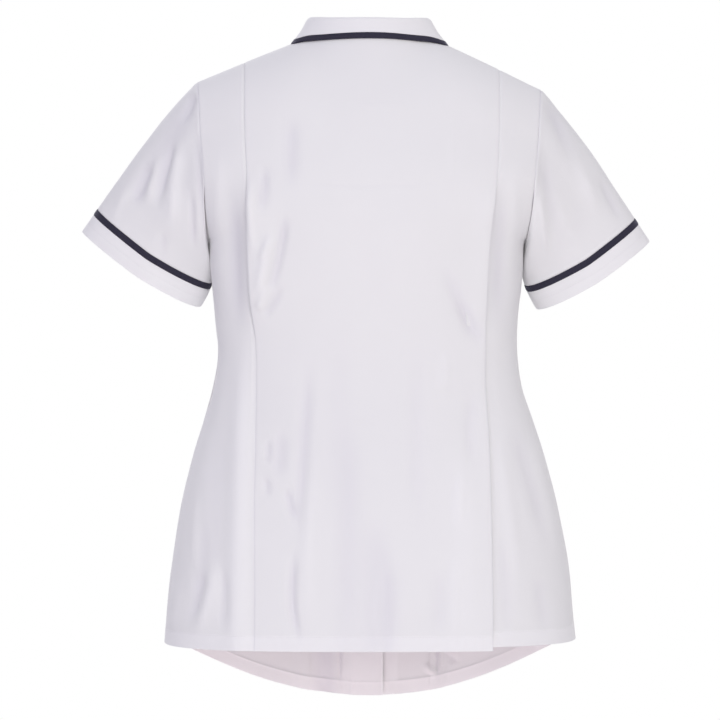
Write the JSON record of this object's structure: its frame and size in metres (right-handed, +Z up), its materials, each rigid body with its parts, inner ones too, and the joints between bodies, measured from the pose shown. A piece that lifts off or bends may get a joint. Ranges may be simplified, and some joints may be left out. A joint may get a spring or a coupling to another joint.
{
  "type": "medical tunic",
  "caption": "Hollow, filled-out women's medical tunic: back action pleats, short sleeves, folded collar, contrast trim, buttoned front with a curved longer hem.",
  "frame": {"origin": "centre of the neck opening, level with the collar's back seam", "axes": "+Z up, -Y out of the front (the buttons), +X towards the wearer's left"},
  "size_m": [0.677, 0.3035, 0.8309],
  "materials": {
    "white_cloth": "matte plain-weave polyester and cotton",
    "navy_trim": "matte plain weave",
    "button_plastic": "satin"
  },
  "bodies": {
    "root": {"back_centre": "white_cloth", "back_side_left": "white_cloth", "back_side_right": "white_cloth", "front_centre_left": "white_cloth", "front_centre_right": "white_cloth", "front_side_left": "white_cloth", "front_side_right": "white_cloth", "sleeve_left": "white_cloth", "sleeve_right": "white_cloth", "cuff_left": "white_cloth", "cuff_right": "white_cloth", "collar": "white_cloth", "sleeve_trim_left": "navy_trim", "sleeve_trim_right": "navy_trim", "collar_trim": "navy_trim", "button_1": "button_plastic", "button_2": "button_plastic", "button_3": "button_plastic", "button_4": "button_plastic", "button_5": "button_plastic", "button_6": "button_plastic"}
  },
  "joints": []
}
